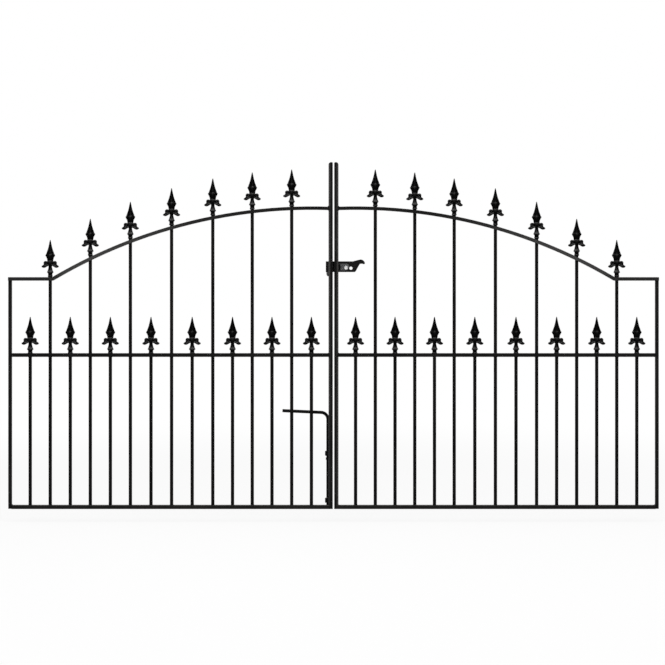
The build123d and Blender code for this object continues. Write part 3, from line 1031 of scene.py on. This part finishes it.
def studio_floor():
    """A plain pale floor that runs out into the white behind it and keeps the gate's shadow."""
    work = bmesh.new()
    bmesh.ops.create_grid(work, x_segments=2, y_segments=2, size=FLOOR_HALF_WIDTH)
    paper = Finish("white_paper")
    place = paper.place()
    matt = paper.node("ShaderNodeBsdfDiffuse", None, {"Color": grey(PAPER_GREY)}, "BSDF")
    behind_gate = paper.along(Y, place).within(-0.3, 1.2)
    lost = 1 - FLOOR_IN_MIRROR
    level = 1 - paper.ray("Is Glossy Ray") * (lost - lost * behind_gate)
    bright = paper.node("ShaderNodeEmission", None, {"Color": grey(1.0), "Strength": level})
    away = paper.node("ShaderNodeVectorMath", {"operation": "LENGTH"}, {0: place}, "Value")
    white = FLOOR_WHITE_SHARE + (1 - FLOOR_WHITE_SHARE) * away.within(1.4, 4.0)
    share = seen_directly(paper) * white
    both = paper.node("ShaderNodeMixShader", None, {0: share, 1: matt, 2: bright})
    paper.node("ShaderNodeOutputMaterial", None, {"Surface": both})
    mesh = bpy.data.meshes.new("studio_floor")
    work.to_mesh(mesh)
    work.free()
    mesh.materials.append(paper.owner)
    floor = bpy.data.objects.new("studio_floor", mesh)
    floor.location = (GATE_MIDDLE, 0, LEAF_FOOT - FLOOR_DROP)
    bpy.context.scene.collection.objects.link(floor)


def softbox(name, place, width, height, level):
    """A soft box aimed at the gate: level is what a white card facing it would show."""
    aim = Vector((GATE_MIDDLE, 0, LEAF_FOOT + AIM_OVER_FOOT))
    place = Vector((GATE_MIDDLE, 0, LEAF_FOOT)) + Vector(place)
    lamp = bpy.data.lights.new(name, "AREA")
    lamp.shape = "RECTANGLE"
    lamp.size = width
    lamp.size_y = height
    lamp.energy = level * (math.pi * (place - aim).length) ** 2
    made = bpy.data.objects.new(name, lamp)
    made.location = place
    made.rotation_euler = (aim - place).to_track_quat("-Z", "Y").to_euler()
    bpy.context.scene.collection.objects.link(made)


def studio_light():
    """A white room, dark behind the camera, with boxes in front, overhead and at the sides."""
    world = bpy.data.worlds.new("studio")
    bpy.context.scene.world = world
    room = Recipe(world)
    direction = room.node("ShaderNodeTexCoord", out="Generated")
    behind_gate = room.along(Y, direction).within(-0.10, 0.45)
    glossy = room.ray("Is Glossy Ray")
    mirrored = glossy * (ROOM_IN_MIRROR + (1 - ROOM_IN_MIRROR) * behind_gate)
    fill = (1 - glossy) * ROOM_FILL
    shown = room.ray("Is Camera Ray").larger(room.ray("Is Transmission Ray"))
    shown = shown.larger(mirrored + fill)
    light = room.node("ShaderNodeBackground", None, {"Color": grey(1.0), "Strength": shown})
    room.node("ShaderNodeOutputWorld", None, {"Surface": light})
    for box in SOFTBOXES:
        softbox(*box)


def studio_camera():
    """Level camera in front of the meeting stiles, with the lens slid down."""
    view_width = PAIR_WIDTH * VIEW_OVER_PAIR
    lens = bpy.data.cameras.new("studio_camera")
    lens.sensor_width = SENSOR_WIDTH
    lens.lens = SENSOR_WIDTH * CAMERA_DISTANCE / view_width
    lens.shift_y = (VIEW_MIDDLE_OVER_FOOT - EYE_OVER_FOOT) / view_width
    made = bpy.data.objects.new("studio_camera", lens)
    made.location = (
        GATE_MIDDLE - CAMERA_ASIDE,
        RAIL_DEPTH_MIDDLE - CAMERA_DISTANCE,
        LEAF_FOOT + EYE_OVER_FOOT,
    )
    made.rotation_euler = (math.radians(90), 0, 0)
    bpy.context.scene.collection.objects.link(made)
    bpy.context.scene.camera = made


studio_floor()
studio_light()
studio_camera()
bpy.context.scene.view_settings.view_transform = "Standard"
